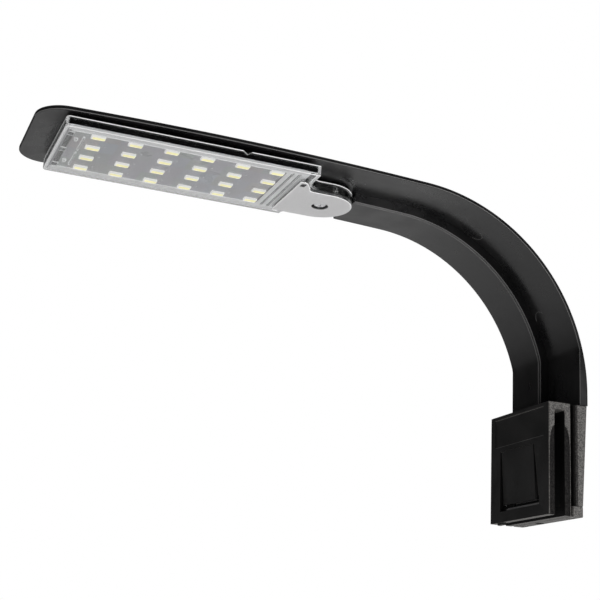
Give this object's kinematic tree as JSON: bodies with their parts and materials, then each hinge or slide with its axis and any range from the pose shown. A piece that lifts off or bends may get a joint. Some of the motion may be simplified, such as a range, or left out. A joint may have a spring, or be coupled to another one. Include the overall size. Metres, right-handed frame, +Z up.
{
  "type": "led aquarium light",
  "caption": "Clip-on aquarium light: rim clip with a sprung tongue, curved black arm with a cable channel, and a thin clear LED lamp that swings under the head.",
  "frame": {"origin": "middle of the roof of the glass slot, where the clip rests on the rim", "axes": "+X along the arm from the clip towards the lamp, over the tank; +Y across the arm; +Z up"},
  "size_m": [0.2465, 0.0596, 0.1396],
  "materials": {
    "shell_black": "satin moulded ABS",
    "cover_black": "satin moulded ABS",
    "clip_black": "moulded ABS, spark-eroded sides",
    "tongue_black": "moulded ABS",
    "lid_black": "gloss black moulding",
    "rubber_black": "soft black rubber",
    "lead_pvc": "flat two-core PVC lead",
    "bush_acetal": "black acetal",
    "screw_steel": "bright plated steel",
    "brass_insert": "knurled brass",
    "washer_steel": "plain steel",
    "clear_plastic": "clear polycarbonate, frosted under the lug",
    "silicone": "grey silicone",
    "board_white": "solder-masked aluminium board",
    "led_body": "white ceramic-filled package",
    "led_phosphor": "yellow phosphor gel",
    "solder": "solder",
    "resistor": "chip resistor"
  },
  "bodies": {
    "arm": {"arm_shell": "shell_black", "channel_cover": "cover_black", "channel_lead": "lead_pvc", "clip_body": "clip_black", "slot_pad": "rubber_black", "foot_end_cap": "clip_black", "inlet_grommet": "rubber_black", "lead_clamp": "bush_acetal", "arm_screws": "screw_steel", "end_cap_screws": "screw_steel", "pivot_bush": "bush_acetal", "pivot_insert": "brass_insert", "pivot_washer": "washer_steel", "pivot_screw": "screw_steel", "friction_washer": "washer_steel"},
    "lamp": {"lamp_housing": "clear_plastic", "lamp_lid": "lid_black", "lid_gasket": "silicone", "led_board": "board_white", "led_packages": "led_body", "led_windows": "led_phosphor", "solder_dots": "solder", "board_resistors": "resistor", "lead_terminals": "solder", "lamp_lead": "lead_pvc"},
    "tongue": {"clip_tongue": "tongue_black"}
  },
  "joints": [
    {"name": "lamp_swing", "type": "hinge", "parent": "arm", "child": "lamp", "pos_m": [0.1028, -0.0059, 0.0885], "axis": [0, 0, 1], "range_deg": [-60, 90]},
    {"name": "tongue_flex", "type": "hinge", "parent": "arm", "child": "tongue", "pos_m": [0.00385, -0.0016, -0.0135], "axis": [0, -1, 0], "range_deg": [0, 4.5], "stiffness_Nm_per_rad": 0.5}
  ]
}
